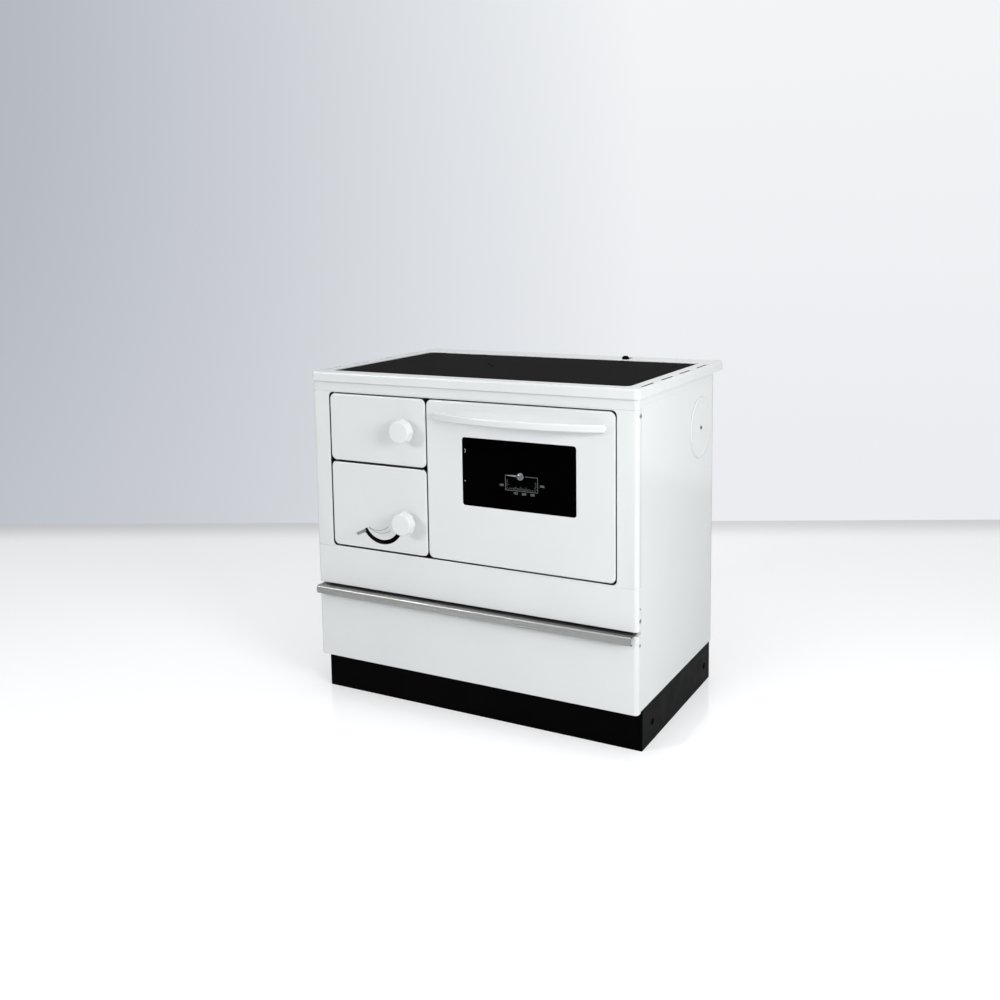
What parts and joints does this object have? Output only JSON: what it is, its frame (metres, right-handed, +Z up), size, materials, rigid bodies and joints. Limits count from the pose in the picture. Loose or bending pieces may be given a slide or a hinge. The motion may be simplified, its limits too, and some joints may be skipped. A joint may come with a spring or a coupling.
{
  "type": "wood cookstove",
  "caption": "White enamelled wood cookstove: firebox and ash doors at the left, glazed drop-down oven door, full-width wood drawer, steel hob plate in a frame.",
  "frame": {"origin": "on the floor, under the centre of the overall bounding box", "axes": "+X to the right seen from the front, +Y to the back, +Z up; the doors face -Y"},
  "size_m": [0.9, 0.6586, 0.8593],
  "materials": {
    "white_enamel": "glossy white vitreous enamel on pressed sheet steel",
    "black_enamel": "black enamel with a soft gloss",
    "black_steel": "blackened heat-proof steel, ground in fine circles on the hob plate",
    "cast_iron": "dark grey iron as cast",
    "stainless": "brushed stainless steel",
    "white_resin": "white moulded heat-proof resin with a polished face",
    "zinc_steel": "zinc-plated sheet steel and bolts",
    "firebrick": "coarse sand-coloured fireclay",
    "rope_seal": "dark glass-fibre rope",
    "dark_glass": "dark heat-proof glass with a polished face",
    "grey_enamel": "dark grey speckled oven enamel"
  },
  "bodies": {
    "cabinet": {"plinth_frame": "black_enamel", "foot_front_left": "zinc_steel", "foot_front_right": "zinc_steel", "foot_rear_left": "zinc_steel", "foot_rear_right": "zinc_steel", "base_panel": "zinc_steel", "side_panel_left": "white_enamel", "side_panel_right": "white_enamel", "back_panel": "zinc_steel", "deck_panel": "zinc_steel", "top_band": "white_enamel", "front_frame": "white_enamel", "lower_panel": "white_enamel", "front_plate": "cast_iron", "hob_frame": "white_enamel", "hob_plate": "black_steel", "flue_cover_disc": "white_enamel", "flue_cover_screw": "zinc_steel", "flue_collar": "cast_iron", "firebox_casing": "black_steel", "firebrick_left": "firebrick", "firebrick_right": "firebrick", "firebrick_rear": "firebrick", "fire_grate": "cast_iron", "ash_pan": "zinc_steel", "oven_box": "grey_enamel", "oven_support": "zinc_steel", "oven_runner_left": "stainless", "oven_runner_right": "stainless", "oven_rack": "stainless", "baking_tray": "grey_enamel", "flue_baffle": "black_steel", "drawer_slide_left": "zinc_steel", "drawer_slide_right": "zinc_steel", "door_hinge_pin": "zinc_steel", "oven_hinge_rod": "zinc_steel"},
    "fire_door": {"fire_door_panel": "white_enamel", "fire_door_liner": "cast_iron", "fire_door_gasket": "rope_seal"},
    "fire_latch_set": {"fire_door_knob": "white_resin", "fire_latch": "zinc_steel"},
    "ash_door": {"ash_door_panel": "white_enamel", "ash_door_liner": "cast_iron", "ash_door_gasket": "rope_seal"},
    "ash_latch_set": {"ash_door_knob": "white_resin", "ash_latch": "zinc_steel"},
    "air_shutter": {"air_slide": "stainless"},
    "oven_door": {"oven_door_panel": "white_enamel", "oven_door_glass": "dark_glass", "oven_door_liner": "grey_enamel", "oven_door_gasket": "rope_seal", "oven_handle": "white_enamel", "thermometer_boss": "stainless"},
    "thermometer_needle": {"thermometer_pointer": "stainless"},
    "wood_drawer": {"wood_drawer_box": "zinc_steel", "wood_drawer_front": "white_enamel", "drawer_rail": "stainless"},
    "damper": {"damper_valve": "black_steel", "damper_knob": "black_enamel"}
  },
  "joints": [
    {"name": "fire_door_swing", "type": "hinge", "parent": "cabinet", "child": "fire_door", "pos_m": [-0.381, -0.27275, 0.71025], "axis": [0, 0, -1], "range_deg": [0, 105]},
    {"name": "fire_latch_turn", "type": "hinge", "parent": "fire_door", "child": "fire_latch_set", "pos_m": [-0.162, -0.28175, 0.716], "axis": [0, -1, 0], "range_deg": [0, 90]},
    {"name": "ash_door_swing", "type": "hinge", "parent": "cabinet", "child": "ash_door", "pos_m": [-0.381, -0.27275, 0.51125], "axis": [0, 0, -1], "range_deg": [0, 105]},
    {"name": "ash_latch_turn", "type": "hinge", "parent": "ash_door", "child": "ash_latch_set", "pos_m": [-0.162, -0.28175, 0.485], "axis": [0, -1, 0], "range_deg": [0, 90]},
    {"name": "air_slide_turn", "type": "hinge", "parent": "ash_door", "child": "air_shutter", "pos_m": [-0.2413, -0.268, 0.4828], "axis": [0, -1, 0], "range_deg": [0, 111]},
    {"name": "oven_door_drop", "type": "hinge", "parent": "cabinet", "child": "oven_door", "pos_m": [0.1441, -0.27275, 0.412], "axis": [1, 0, 0], "range_deg": [0, 90]},
    {"name": "thermometer_needle_turn", "type": "hinge", "parent": "oven_door", "child": "thermometer_needle", "pos_m": [0.153, -0.28115, 0.628], "axis": [0, -1, 0], "range_deg": [0, 170]},
    {"name": "drawer_slide", "type": "slide", "parent": "cabinet", "child": "wood_drawer", "axis": [0, -1, 0], "range_m": [0, 0.4]},
    {"name": "damper_pull", "type": "slide", "parent": "cabinet", "child": "damper", "axis": [0, 1, 0], "range_m": [0, 0.045]}
  ]
}
